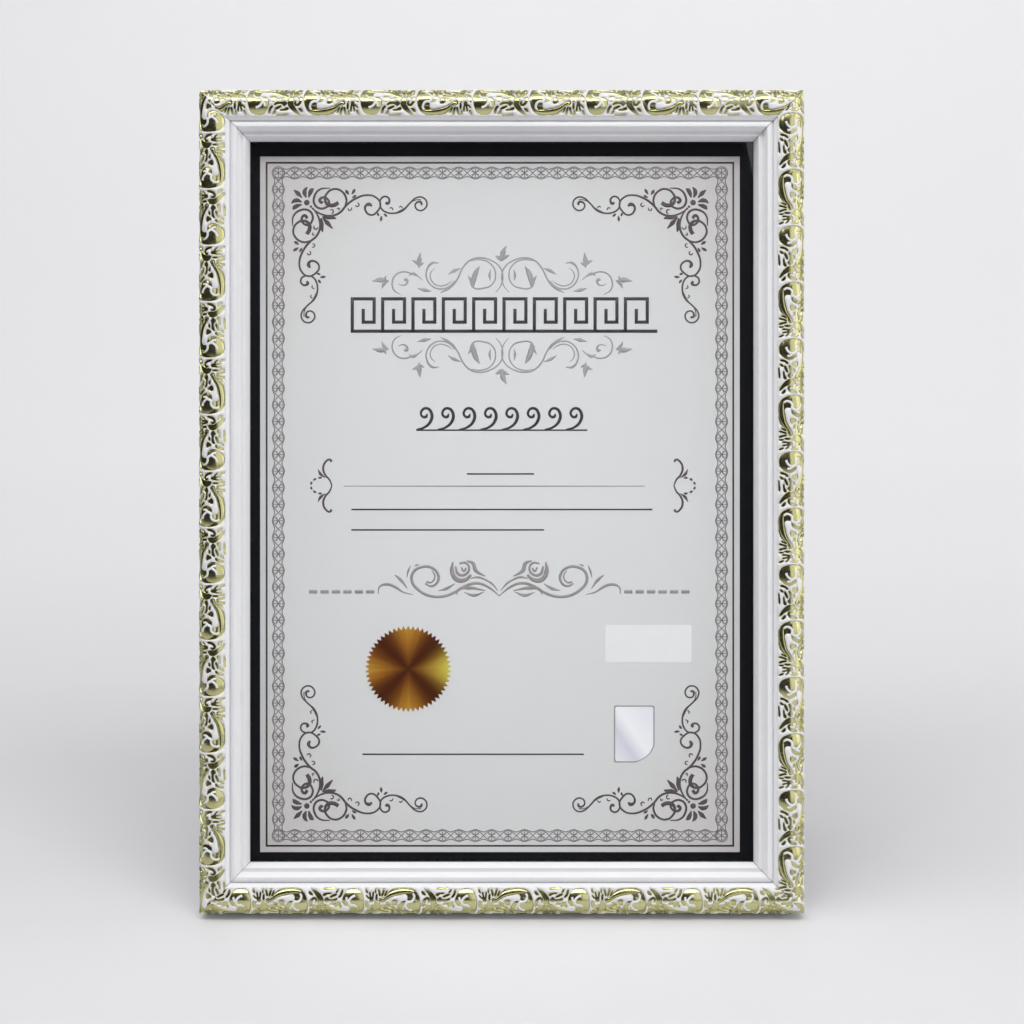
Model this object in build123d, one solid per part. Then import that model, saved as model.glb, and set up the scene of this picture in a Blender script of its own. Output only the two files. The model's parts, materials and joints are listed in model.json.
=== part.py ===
from build123d import *
import os
from math import cos, hypot, radians, sin

# A white and gold A4 certificate frame on a two-way easel strut. Millimetres and degrees.
# It is modelled upright: the back on y = 0, the front towards -y, the lower edge on z = 0 and x to the right
# as seen from the front. At the end the whole frame is leant back until the open strut stands on the floor.

# Sheet and the stack behind the lip
SHEET_WIDTH = 210.0
SHEET_HEIGHT = 297.0
SHEET_THICKNESS = 0.3
GLASS_THICKNESS = 2.0
CARD_THICKNESS = 1.2
BOARD_THICKNESS = 3.0
AIR_FILM = 0.15  # air left between the glass and the sheet
STACK_PLAY = 2.0  # rabbet opening less the sheet's size
SHEET_SLIP = 0.75  # how far the loose sheet has slipped to the left

# Moulding, from the outer edge to the sight edge and from the back to the front
RAIL_BACK_WIDTH = 14.0
SIDE_HEIGHT = 12.8  # straight outer side
OUTER_ROUND = 5.2  # radius of the outer half of the convex band
INNER_ROUND_WIDTH = 6.4
INNER_ROUND_DROP = 2.3
GROOVE_WIDTH = 0.8
GROOVE_DEPTH = 0.6
GROOVE_RISE = 0.5  # from the groove's bottom up to the upper step
UPPER_STEP_WIDTH = 1.9
UPPER_STEP_RISE = 0.6  # both steps face a little outwards
UPPER_SLOPE_WIDTH = 1.2
UPPER_SLOPE_DROP = 3.6
LOWER_STEP_WIDTH = 1.7
LOWER_STEP_RISE = 0.25
LOWER_SLOPE_WIDTH = 1.8
LIP_EDGE = 1.4  # upright edge of the lip above the glass

# Corner V-nails
V_NAIL_INSETS = (4.0, 8.0)  # along each rail's width
V_NAIL_LEG = 4.5
V_NAIL_THICKNESS = 0.4
V_NAIL_HEIGHT = 8.0

# Turn buttons and their screws
BUTTON_INSET = 7.0  # screw from the rail's outer edge
BUTTON_REACH = 13.0  # screw to the tip of the nose
BUTTON_TAIL = 5.0
BUTTON_WIDTH = 9.0
BUTTON_THICKNESS = 0.8
BUTTON_LIFT = 0.1  # running gap to the rail and the board
BUTTON_TAB_HEIGHT = 2.6
BUTTON_TAB_WIDTH = 5.0
SIDE_BUTTON_SPREAD = 78.0  # each side of the middle of a long rail
SCREW_SHANK = 1.4  # radius
SCREW_LENGTH = 8.0
SCREW_HEAD = 2.7  # radius
SCREW_HEAD_HEIGHT = 1.6
SCREW_CROSS = 3.2
SCREW_CROSS_WIDTH = 0.8
SCREW_CROSS_DEPTH = 0.9
RUNNING_FIT = 0.06  # radial play of a pin in its hole

# Rivets
RIVET_SHANK = 1.4  # radius
RIVET_HEAD = 2.6  # radius
RIVET_DOME = 0.9
RIVET_FOOT = 0.6  # thickness of the flat end

# Easel strut and hinge
LEAN = 12.0  # of the standing frame, upright and sideways alike
STRUT_OPEN = 25.0
STRUT_SWING = 33.0  # strut's line from straight down, towards a lower corner
STRUT_THICKNESS = 3.0
STRUT_TOP_WIDTH = 44.0
STRUT_FOOT_WIDTH = 60.0
STRUT_HEEL = 8.0  # strut above the pin's axis
STRUT_GAP = 0.2  # strut's face to the knuckles
STOP_GAP = 0.03  # strut's heel to the leaf that stops it
HINGE_HEIGHT = 175.0
HINGE_WIDTH = 30.0
LEAF_LENGTH = 22.0
LEAF_THICKNESS = 0.8
KNUCKLE_RADIUS = 1.6
KNUCKLE_LIFT = 0.1  # knuckles to the board
KNUCKLE_MIDDLE = 11.8  # length of the strut leaf's knuckle
KNUCKLE_GAP = 0.15
KNUCKLE_NOTCH = 2.1  # leaf plates stop this far from the pin's axis beside the other leaf's knuckle
PIN_RADIUS = 0.8
LEAF_RIVET_SPREAD = 16.0
LEAF_RIVET_REACH = 13.0  # pin to rivets

# Triangle hangers
STRAP_WIDTH = 9.0
STRAP_THICKNESS = 0.6
STRAP_LENGTH = 12.0
STRAP_FOLD = 4.5  # where the strap's upper layer meets the lower
WIRE_RADIUS = 0.95
RING_WIDTH = 16.0
RING_HEIGHT = 14.0
RING_CORNER = 1.7
HANGER_RIVET_REACH = 8.5
HANGER_DROP = 46.0  # ring's axis from the frame's edge

# Values that follow
RABBET_WIDTH = SHEET_WIDTH + STACK_PLAY
RABBET_HEIGHT = SHEET_HEIGHT + STACK_PLAY
RABBET_DEPTH = GLASS_THICKNESS + AIR_FILM + SHEET_THICKNESS + CARD_THICKNESS + BOARD_THICKNESS
FRAME_WIDTH = RABBET_WIDTH + 2 * RAIL_BACK_WIDTH
FRAME_HEIGHT = RABBET_HEIGHT + 2 * RAIL_BACK_WIDTH
RAIL_HEIGHT = SIDE_HEIGHT + OUTER_ROUND
PIN_Y = KNUCKLE_LIFT + KNUCKLE_RADIUS
STRUT_Y = PIN_Y + KNUCKLE_RADIUS + STRUT_GAP  # folded strut's face from the board
LOOP_RADIUS = WIRE_RADIUS + RUNNING_FIT
RING_Y = STRAP_THICKNESS + LOOP_RADIUS


def hinge_offset():
    """Sideways place of the hinge that puts the strut's tip on its own middle line."""
    lean, turn, swing = radians(LEAN), radians(STRUT_OPEN), radians(STRUT_SWING)
    back = PIN_Y * sin(lean)
    down = cos(turn) * cos(swing) * cos(lean) + sin(turn) * sin(lean)
    across = cos(turn) * sin(swing) * cos(lean) + sin(turn) * sin(lean)
    reach = (HINGE_HEIGHT * cos(lean) - back) / down
    return FRAME_WIDTH / 2 - (reach * across + back) / cos(lean)


# Places in the upright frame. A rail is modelled as the bottom one and put in its place by these.
PLACES = {
    "bottom": Pos(0, 0, 0),
    "top": Pos(0, 0, FRAME_HEIGHT) * Rot(0, 180, 0),
    "left": Pos(-FRAME_WIDTH / 2, 0, FRAME_HEIGHT / 2) * Rot(0, 90, 0),
    "right": Pos(FRAME_WIDTH / 2, 0, FRAME_HEIGHT / 2) * Rot(0, -90, 0),
}
BUTTONS = {
    "turn_button_bottom": ("bottom", 0),
    "turn_button_top": ("top", 0),
    "turn_button_left_low": ("left", SIDE_BUTTON_SPREAD),
    "turn_button_left_high": ("left", -SIDE_BUTTON_SPREAD),
    "turn_button_right_low": ("right", -SIDE_BUTTON_SPREAD),
    "turn_button_right_high": ("right", SIDE_BUTTON_SPREAD),
}
BUTTON_PLACES = {name: PLACES[side] * Pos(along, 0, BUTTON_INSET) for name, (side, along) in BUTTONS.items()}
HINGE_PLACE = Pos(hinge_offset(), 0, HINGE_HEIGHT) * Rot(0, -STRUT_SWING, 0)
OPEN_STRUT = HINGE_PLACE * Pos(0, PIN_Y, 0) * Rot(STRUT_OPEN, 0, 0) * Pos(0, -PIN_Y, 0)
HANGER_PLACES = {
    "upright": PLACES["top"] * Pos(0, 0, HANGER_DROP) * Rot(0, 180, 0),
    "sideways": PLACES["left"] * Pos(0, 0, HANGER_DROP) * Rot(0, 180, 0),
}
LEANT = Rot(-LEAN, 0, 0)


def moulding_face(start):
    """The moulding's section at the rail's left end."""
    section = Plane(origin=(start, 0, 0), x_dir=(0, 0, 1), z_dir=(1, 0, 0))
    crest = (OUTER_ROUND, RAIL_HEIGHT)
    band_end = (crest[0] + INNER_ROUND_WIDTH, crest[1] - INNER_ROUND_DROP)
    inner_radius = (INNER_ROUND_WIDTH**2 + INNER_ROUND_DROP**2) / (2 * INNER_ROUND_DROP)
    groove = (band_end[0] + GROOVE_WIDTH / 2, band_end[1] - GROOVE_DEPTH)
    upper_step = (band_end[0] + GROOVE_WIDTH, groove[1] + GROOVE_RISE)
    upper_edge = (upper_step[0] + UPPER_STEP_WIDTH, upper_step[1] + UPPER_STEP_RISE)
    lower_step = (upper_edge[0] + UPPER_SLOPE_WIDTH, upper_edge[1] - UPPER_SLOPE_DROP)
    lower_edge = (lower_step[0] + LOWER_STEP_WIDTH, lower_step[1] + LOWER_STEP_RISE)
    sight = lower_edge[0] + LOWER_SLOPE_WIDTH
    with BuildSketch(section) as sketch:
        with BuildLine():
            Line((0, 0), (0, SIDE_HEIGHT))
            RadiusArc((0, SIDE_HEIGHT), crest, OUTER_ROUND)
            RadiusArc(crest, band_end, inner_radius)
            Polyline(
                band_end,
                groove,
                upper_step,
                upper_edge,
                lower_step,
                lower_edge,
                (sight, RABBET_DEPTH + LIP_EDGE),
                (sight, RABBET_DEPTH),
                (RAIL_BACK_WIDTH, RABBET_DEPTH),
                (RAIL_BACK_WIDTH, 0),
                (0, 0),
            )
        make_face()
    return sketch.sketch


def rail(side, length):
    """One mitred rail with its slots and screw holes, in its place."""
    body = extrude(moulding_face(-length / 2), amount=length, dir=(1, 0, 0))
    for end in (-1, 1):
        mitre = Plane(origin=(end * length / 2, 0, 0), z_dir=(-end, 0, -1))
        body = split(body, bisect_by=mitre, keep=Keep.TOP)
    body = PLACES[side] * body
    for name, (screw_side, along) in BUTTONS.items():
        if screw_side == side:
            body -= BUTTON_PLACES[name] * turned(SCREW_SHANK, -SCREW_LENGTH, 0)
    for nail in v_nails():
        body -= nail
    return body


def turned(radius, start, end):
    """A round bar along y."""
    return Pos(0, start, 0) * Rot(-90, 0, 0) * Cylinder(
        radius, end - start, align=(Align.CENTER, Align.CENTER, Align.MIN)
    )


def v_nails():
    """Two V-shaped strips pressed into the back of each mitre."""
    nails = []
    for across in (-1, 1):
        for foot, up in ((0, 1), (FRAME_HEIGHT, -1)):
            for inset in V_NAIL_INSETS:
                outline = [
                    (0, 0),
                    (V_NAIL_LEG, 0),
                    (V_NAIL_LEG, V_NAIL_THICKNESS),
                    (V_NAIL_THICKNESS, V_NAIL_THICKNESS),
                    (V_NAIL_THICKNESS, V_NAIL_LEG),
                    (0, V_NAIL_LEG),
                ]
                points = [
                    (across * (FRAME_WIDTH / 2 - inset - i), 0, foot + up * (inset + j)) for i, j in outline
                ]
                face = make_face(Polyline(*points, close=True))
                nails.append(extrude(face, amount=V_NAIL_HEIGHT, dir=(0, -1, 0)))
    return nails


def stack_sheet(width, height, front, thickness, slip=0.0):
    """A flat sheet in the rabbet that rests on the bottom rail."""
    return Pos(-slip, -front, RAIL_BACK_WIDTH) * Box(
        width, thickness, height, align=(Align.CENTER, Align.MIN, Align.MIN)
    )


def dome_rivet(grip, start):
    """A rivet along y from its flat end at start, through the grip, to its domed head."""
    top = start + grip
    with BuildSketch(Plane.XY) as half:
        with BuildLine():
            Polyline(
                (0, top + RIVET_DOME),
                (0, start),
                (RIVET_HEAD, start),
                (RIVET_HEAD, start + RIVET_FOOT),
                (RIVET_SHANK, start + RIVET_FOOT),
                (RIVET_SHANK, top),
                (RIVET_HEAD, top),
            )
            dome = (RIVET_HEAD**2 + RIVET_DOME**2) / (2 * RIVET_DOME)
            RadiusArc((RIVET_HEAD, top), (0, top + RIVET_DOME), -dome)
        make_face()
    return revolve(half.sketch, axis=Axis.Y, revolution_arc=360)


def turn_button():
    """A flat steel turn button about its screw, its nose towards +z."""
    outline = Pos(0, 0, (BUTTON_REACH - BUTTON_TAIL) / 2) * Rot(90, 0, 0) * SlotOverall(
        BUTTON_REACH + BUTTON_TAIL, BUTTON_WIDTH, rotation=90
    )
    plate = Pos(0, BUTTON_LIFT, 0) * extrude(outline, amount=BUTTON_THICKNESS, dir=(0, 1, 0))
    tab = Pos(0, BUTTON_LIFT, BUTTON_THICKNESS - BUTTON_TAIL) * Box(
        BUTTON_TAB_WIDTH,
        BUTTON_TAB_HEIGHT,
        BUTTON_THICKNESS,
        align=(Align.CENTER, Align.MIN, Align.MIN),
    )
    return plate + tab - turned(SCREW_SHANK + RUNNING_FIT, -BUTTON_LIFT, 2 * BUTTON_THICKNESS)


def button_screw():
    """A pan-head screw along y with a cross recess."""
    seat = 2 * BUTTON_LIFT + BUTTON_THICKNESS
    head = turned(SCREW_HEAD, seat, seat + SCREW_HEAD_HEIGHT)
    head = fillet(head.edges().group_by(Axis.Y)[-1], SCREW_HEAD_HEIGHT * 0.6)
    top = seat + SCREW_HEAD_HEIGHT - SCREW_CROSS_DEPTH
    for size in ((SCREW_CROSS, SCREW_CROSS_WIDTH), (SCREW_CROSS_WIDTH, SCREW_CROSS)):
        head -= Pos(0, top, 0) * Box(
            size[0], SCREW_HEAD_HEIGHT, size[1], align=(Align.CENTER, Align.MIN, Align.CENTER)
        )
    return head + turned(SCREW_SHANK, -SCREW_LENGTH, seat)


def leaf(side, plate_y):
    """One hinge leaf about the pin's axis: side 1 runs up over the board, side -1 down along the strut."""
    notch_half = KNUCKLE_MIDDLE / 2 + KNUCKLE_GAP
    plate = Pos(0, plate_y, 0) * Box(
        HINGE_WIDTH, LEAF_THICKNESS, LEAF_LENGTH, align=(Align.CENTER, Align.MIN, Align.MIN)
    )
    outer = (HINGE_WIDTH / 2 - notch_half) / 2 + notch_half
    if side > 0:
        knuckles = [(x, HINGE_WIDTH / 2 - notch_half) for x in (-outer, outer)]
        notches = [(0, 2 * notch_half)]
    else:
        knuckles = [(0, KNUCKLE_MIDDLE)]
        edge = KNUCKLE_MIDDLE / 2
        wide = HINGE_WIDTH / 2 - edge
        notches = [(x, wide) for x in (-edge - wide / 2, edge + wide / 2)]
    for x, width in notches:
        plate -= Pos(x, plate_y, 0) * Box(width, 4 * LEAF_THICKNESS, 2 * KNUCKLE_NOTCH)
    if side < 0:
        plate = Rot(0, 180, 0) * plate
    for x, width in knuckles:
        plate += Pos(x, PIN_Y, 0) * Rot(0, 90, 0) * Cylinder(KNUCKLE_RADIUS, width)
    plate -= Pos(0, PIN_Y, 0) * Rot(0, 90, 0) * Cylinder(PIN_RADIUS + RUNNING_FIT, 2 * HINGE_WIDTH)
    for rivet in leaf_rivets(side):
        plate -= rivet
    return plate


def leaf_rivets(side):
    """The two rivets of a leaf, through the board or through the strut."""
    if side > 0:
        start, grip = -BOARD_THICKNESS, BOARD_THICKNESS + LEAF_THICKNESS
    else:
        start = STRUT_Y - LEAF_THICKNESS - RIVET_FOOT
        grip = RIVET_FOOT + LEAF_THICKNESS + STRUT_THICKNESS
    return [
        Pos(x, 0, side * LEAF_RIVET_REACH) * dome_rivet(grip, start)
        for x in (-LEAF_RIVET_SPREAD / 2, LEAF_RIVET_SPREAD / 2)
    ]


def strut():
    """The open strut, trimmed where it meets the hinge leaf and the floor both ways up."""
    length = hypot(FRAME_WIDTH, FRAME_HEIGHT)
    spread = (STRUT_FOOT_WIDTH - STRUT_TOP_WIDTH) / 2 * length / HINGE_HEIGHT
    top, foot = STRUT_TOP_WIDTH / 2, STRUT_TOP_WIDTH / 2 + spread
    points = [
        (-top, STRUT_Y, STRUT_HEEL),
        (top, STRUT_Y, STRUT_HEEL),
        (foot, STRUT_Y, -length),
        (-foot, STRUT_Y, -length),
    ]
    plate = extrude(make_face(Polyline(*points, close=True)), amount=STRUT_THICKNESS, dir=(0, 1, 0))
    for rivet in leaf_rivets(-1):
        plate -= rivet
    plate = OPEN_STRUT * plate
    stop = Plane(origin=(0, LEAF_THICKNESS + STOP_GAP, 0), z_dir=(0, 1, 0))
    lean = radians(LEAN)
    floor = Plane(origin=(0, 0, 0), z_dir=(0, -sin(lean), cos(lean)))
    side_floor = Plane(origin=(FRAME_WIDTH / 2, 0, 0), z_dir=(-cos(lean), -sin(lean), 0))
    for cut in (stop, floor, side_floor):
        plate = split(plate, bisect_by=cut, keep=Keep.TOP)
    return plate


def hanger_strap():
    """A steel strip folded over the ring's bar, its tail towards -z."""
    loop = LOOP_RADIUS + STRAP_THICKNESS
    top = RING_Y + loop
    tail = [(0, 0), (STRAP_THICKNESS, 0), (STRAP_THICKNESS, -STRAP_LENGTH), (0, -STRAP_LENGTH)]
    cover = [
        (top, 0),
        (2 * STRAP_THICKNESS, -STRAP_FOLD),
        (2 * STRAP_THICKNESS, -STRAP_LENGTH),
        (STRAP_THICKNESS, -STRAP_LENGTH),
        (STRAP_THICKNESS, -STRAP_FOLD),
        (top - STRAP_THICKNESS, 0),
    ]
    strap = Pos(0, RING_Y, 0) * Rot(0, 90, 0) * Cylinder(loop, STRAP_WIDTH)
    for outline in (tail, cover):
        points = [(-STRAP_WIDTH / 2, y, z) for y, z in outline]
        strap += extrude(make_face(Polyline(*points, close=True)), amount=STRAP_WIDTH, dir=(1, 0, 0))
    strap -= Pos(0, RING_Y, 0) * Rot(0, 90, 0) * Cylinder(LOOP_RADIUS, 2 * STRAP_WIDTH)
    return strap - hanger_rivet()


def hanger_ring():
    """A triangle of round wire whose lower bar turns in the strap, its tip towards +z."""
    corners = [(-RING_WIDTH / 2, RING_Y, 0), (RING_WIDTH / 2, RING_Y, 0), (0, RING_Y, RING_HEIGHT)]
    path = FilletPolyline(*corners, radius=RING_CORNER, close=True)
    start = Plane(origin=path @ 0, z_dir=path % 0)
    return sweep(start * Circle(WIRE_RADIUS), path=path)


def hanger_rivet():
    """The rivet through both layers of a strap and the board."""
    return Pos(0, 0, -HANGER_RIVET_REACH) * dome_rivet(
        BOARD_THICKNESS + 2 * STRAP_THICKNESS, -BOARD_THICKNESS
    )


def upright_nodes():
    """Every node in the upright frame, as lists of solids."""
    nodes = {
        "bottom_rail": [rail("bottom", FRAME_WIDTH)],
        "top_rail": [rail("top", FRAME_WIDTH)],
        "left_rail": [rail("left", FRAME_HEIGHT)],
        "right_rail": [rail("right", FRAME_HEIGHT)],
        "corner_v_nails": v_nails(),
    }
    front = RABBET_DEPTH
    nodes["glass_pane"] = [stack_sheet(SHEET_WIDTH, SHEET_HEIGHT, front, GLASS_THICKNESS)]
    front -= GLASS_THICKNESS + AIR_FILM
    nodes["certificate_sheet"] = [stack_sheet(SHEET_WIDTH, SHEET_HEIGHT, front, SHEET_THICKNESS, SHEET_SLIP)]
    front -= SHEET_THICKNESS
    nodes["filler_card"] = [stack_sheet(SHEET_WIDTH, SHEET_HEIGHT, front, CARD_THICKNESS)]
    front -= CARD_THICKNESS

    board_rivets = [HINGE_PLACE * rivet for rivet in leaf_rivets(1)]
    strap_rivets = [place * hanger_rivet() for place in HANGER_PLACES.values()]
    board = stack_sheet(SHEET_WIDTH, SHEET_HEIGHT, front, BOARD_THICKNESS)
    for rivet in board_rivets + strap_rivets:
        board -= rivet
    nodes["backing_board"] = [board]

    for name, place in BUTTON_PLACES.items():
        nodes[name] = [place * turn_button()]
    nodes["turn_button_screws"] = [place * button_screw() for place in BUTTON_PLACES.values()]

    nodes["hinge_board_leaf"] = [HINGE_PLACE * leaf(1, 0)]
    nodes["hinge_board_rivets"] = board_rivets
    nodes["hinge_pin"] = [HINGE_PLACE * Pos(0, PIN_Y, 0) * Rot(0, 90, 0) * Cylinder(PIN_RADIUS, HINGE_WIDTH)]
    nodes["hinge_strut_leaf"] = [OPEN_STRUT * leaf(-1, STRUT_Y - LEAF_THICKNESS)]
    nodes["hinge_strut_rivets"] = [OPEN_STRUT * rivet for rivet in leaf_rivets(-1)]
    nodes["easel_strut"] = [strut()]

    for name, place in HANGER_PLACES.items():
        nodes[f"hanger_strap_{name}"] = [place * hanger_strap()]
        nodes[f"hanger_ring_{name}"] = [place * hanger_ring()]
    nodes["hanger_rivets"] = strap_rivets
    return nodes


def solids_of(shapes):
    """The plain solids of a node."""
    return [solid for shape in shapes for solid in shape.solids()]


# Lean the frame back and put the origin on the floor under the middle of its box.
leant = {name: [LEANT * solid for solid in solids_of(shapes)] for name, shapes in upright_nodes().items()}
boxes = [solid.bounding_box() for solids in leant.values() for solid in solids]
middle = (min(box.min.Y for box in boxes) + max(box.max.Y for box in boxes)) / 2
TO_ROW = Pos(0, -middle, 0) * LEANT

os.makedirs("parts", exist_ok=True)
for name, solids in leant.items():
    placed = [Pos(0, -middle, 0) * solid for solid in solids]
    export_step(placed[0] if len(placed) == 1 else Compound(placed), f"parts/{name}.step")
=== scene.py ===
import json
from math import acos, asin, atan2, ceil, cos, floor, hypot, pi, radians, sin
import bmesh
import bpy
from bmesh.types import BMEdge, BMFace, BMVert
from mathutils import Matrix, Vector, kdtree


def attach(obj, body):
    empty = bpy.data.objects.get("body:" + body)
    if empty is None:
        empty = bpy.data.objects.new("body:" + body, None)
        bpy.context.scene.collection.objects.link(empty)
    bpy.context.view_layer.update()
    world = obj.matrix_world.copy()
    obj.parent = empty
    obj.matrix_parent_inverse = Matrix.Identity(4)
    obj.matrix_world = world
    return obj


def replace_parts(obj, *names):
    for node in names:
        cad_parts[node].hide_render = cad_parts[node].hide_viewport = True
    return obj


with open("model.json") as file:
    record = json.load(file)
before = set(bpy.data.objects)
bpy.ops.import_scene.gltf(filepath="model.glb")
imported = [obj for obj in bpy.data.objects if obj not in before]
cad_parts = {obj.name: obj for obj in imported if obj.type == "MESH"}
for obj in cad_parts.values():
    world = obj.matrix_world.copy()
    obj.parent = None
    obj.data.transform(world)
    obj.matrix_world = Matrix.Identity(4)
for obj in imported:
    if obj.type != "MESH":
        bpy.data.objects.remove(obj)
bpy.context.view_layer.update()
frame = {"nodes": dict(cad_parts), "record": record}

nodes = frame["nodes"]


# The four rails: extruded polystyrene moulding, mitred at 45 degrees and nailed at the corners.
# A white satin lacquer covers the whole section, and a gold foil is rolled onto the round outer band.
mm = 0.001
frame_width = 240 * mm
frame_height = 327 * mm
side_height = 12.8
outer_round = 5.2
inner_round = 10.054
crest = side_height + outer_round
outer_steps = 15
inner_steps = 5
band_end = 11.6
foil_start = 0.6
foil_end = 10.2
back_gap = 0.02
mitre_gap = 0.13
edge_ease = 0.3
slope_start = (11.5, 7.5)
slope_steps = [(11.9, 14.4), (12.4, 15.5), (13.1, 16.1), (14.3, 16.2), (15.6, 12.4), (16.0, 12.3),
               (17.5, 13.1), (19.0, 8.05)]
rabbet_steps = [(19.0, 6.65), (14.0, 6.65), (14.0, back_gap)]
lower_edge = next(mount for mount in frame["record"]["mounts"] if mount["name"] == "lower_edge")
lean = Matrix.Rotation(-atan2(-lower_edge["axis"][1], -lower_edge["axis"][2]), 4, "X")
lower_back = Vector(lower_edge["pos_m"]) - lean @ Vector((0, -side_height / 2 * mm, 0))
stand = Matrix.Translation(lower_back) @ lean
lacquer_white = (0.88, 0.88, 0.895, 1)
foil_gold = (0.62, 0.598, 0.31, 1)


def side_place(x, z, turn):
    return Matrix.Translation((x, 0, z)) @ Matrix.Rotation(turn, 4, "Y")


rail_places = {
    "bottom": (frame_width, Matrix.Identity(4)),
    "top": (frame_width, side_place(0, frame_height, pi)),
    "left": (frame_height, side_place(-frame_width / 2, frame_height / 2, pi / 2)),
    "right": (frame_height, side_place(frame_width / 2, frame_height / 2, -pi / 2)),
}


def new_material(name):
    material = bpy.data.materials.new(name)
    material.use_nodes = True
    return material, material.node_tree, material.node_tree.nodes["Principled BSDF"]


def wired(tree, made, inputs):
    """Links or sets the named inputs of a shader node."""
    for name, value in inputs.items():
        if isinstance(value, bpy.types.NodeSocket):
            tree.links.new(value, made.inputs[name])
        else:
            made.inputs[name].default_value = value
    return made


def node(tree, kind, inputs, **settings):
    made = tree.nodes.new("ShaderNode" + kind)
    for name, value in settings.items():
        setattr(made, name, value)
    return wired(tree, made, inputs)


def object_point(tree):
    return node(tree, "TexCoord", {}).outputs["Object"]


def maths(tree, operation, *values):
    return node(tree, "Math", dict(enumerate(values)), operation=operation).outputs[0]


def noise(tree, vector, scale, detail, **more):
    return node(tree, "TexNoise", {"Vector": vector, "Scale": scale, "Detail": detail, **more}).outputs["Fac"]


def ranged(tree, value, low, high, to_low=0.0, to_high=1.0):
    return node(tree, "MapRange", {"Value": value, "From Min": low, "From Max": high,
                                   "To Min": to_low, "To Max": to_high}).outputs["Result"]


def mixed(tree, factor, first, second, **settings):
    return node(tree, "Mix", {"Factor": factor, 6: first, 7: second}, data_type="RGBA", **settings).outputs[2]


def bumped(tree, shader, height, strength, distance, **settings):
    bump = node(tree, "Bump", {"Height": height, "Strength": strength, "Distance": distance}, **settings)
    wired(tree, shader, {"Normal": bump.outputs["Normal"]})


def new_group(name, inputs):
    """A surface effect that takes the named inputs and puts out a colour, a roughness and a height."""
    group = bpy.data.node_groups.new(name, "ShaderNodeTree")
    outputs = {"Color": "Color", "Roughness": "Float", "Height": "Float"}
    for in_out, sockets in (("INPUT", inputs), ("OUTPUT", outputs)):
        for socket, kind in sockets.items():
            group.interface.new_socket(name=socket, in_out=in_out, socket_type="NodeSocket" + kind)
    return group, group.nodes.new("NodeGroupInput").outputs, group.nodes.new("NodeGroupOutput")


def surfaced(tree, shader, group, inputs, strength, distance):
    """Feeds a shader from a surface effect, with a bump if that has a strength, and gives the colour back."""
    made = node(tree, "Group", inputs, node_tree=group).outputs
    wired(tree, shader, {"Base Color": made["Color"], "Roughness": made["Roughness"]})
    if strength:
        bumped(tree, shader, made["Height"], strength, distance)
    return made["Color"]


mottle, given, out = new_group("surface_mottle", {
    "Vector": "Vector", "Scale": "Float", "Light": "Color", "Dark": "Color", "Gloss low": "Float",
    "Gloss high": "Float"})
cloud = noise(mottle, given["Vector"], given["Scale"], 5.0, Roughness=0.6)
grit = noise(mottle, given["Vector"], maths(mottle, "MULTIPLY", given["Scale"], 14.0), 3.0)
wired(mottle, out, {
    "Color": mixed(mottle, ranged(mottle, cloud, 0.3, 0.7), given["Light"], given["Dark"]),
    "Roughness": ranged(mottle, grit, 0.3, 0.7, given["Gloss low"], given["Gloss high"]),
    "Height": grit})


def mottled(tree, shader, scale, light, dark, gloss, strength=0.0):
    inputs = {"Vector": object_point(tree), "Scale": scale, "Light": light, "Dark": dark,
              "Gloss low": gloss[0], "Gloss high": gloss[1]}
    return surfaced(tree, shader, mottle, inputs, strength, 0.0002)


def coated(name, inputs, *finish):
    """A material that is mottled all over and has the given plain shader inputs."""
    material, tree, shader = new_material(name)
    mottled(tree, shader, *finish)
    wired(tree, shader, inputs)
    return material


white_lacquer = coated("white_lacquer", {"Specular IOR Level": 0.4},
                       45.0, lacquer_white, (0.84, 0.84, 0.86, 1), (0.3, 0.4), 0.05)
gold_foil = coated("gold_foil", {"Metallic": 1.0},
                   90.0, foil_gold, (0.52, 0.49, 0.24, 1), (0.16, 0.26), 0.06)


def moulding_section():
    """The rail's section from its outer edge inwards and from its back to its front, in millimetres."""
    points = [(0, back_gap), (0, side_height)]
    for step in range(1, outer_steps + 1):
        turn = radians(90 * step / outer_steps)
        points.append((outer_round * (1 - cos(turn)), side_height + outer_round * sin(turn)))
    foil_turn = asin((foil_end - outer_round) / inner_round)
    last_turn = asin((band_end - outer_round) / inner_round)
    steps = range(1, inner_steps + 1)
    turns = [foil_turn * step / inner_steps for step in steps]
    turns += [foil_turn + (last_turn - foil_turn) * step / inner_steps for step in steps]
    for turn in turns:
        points.append((outer_round + inner_round * sin(turn), crest - inner_round * (1 - cos(turn))))
    return points + slope_steps + rabbet_steps


def parts(geom, kind):
    return [part for part in geom if isinstance(part, kind)]


def into_place(bm, place):
    bmesh.ops.transform(bm, matrix=stand @ place, verts=bm.verts)


def closed(bm, name):
    mesh = bpy.data.meshes.new(name)
    bm.to_mesh(mesh)
    bm.free()
    return mesh


def linked(name, data):
    made = bpy.data.objects.new(name, data)
    bpy.context.scene.collection.objects.link(made)
    return made


def finished(bm, name, *materials, sharp=35):
    mesh = closed(bm, name)
    for material in materials:
        mesh.materials.append(material)
    mesh.polygons.foreach_set("use_smooth", [True] * len(mesh.polygons))
    mesh.set_sharp_from_angle(angle=radians(sharp))
    return linked(name, mesh)


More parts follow.
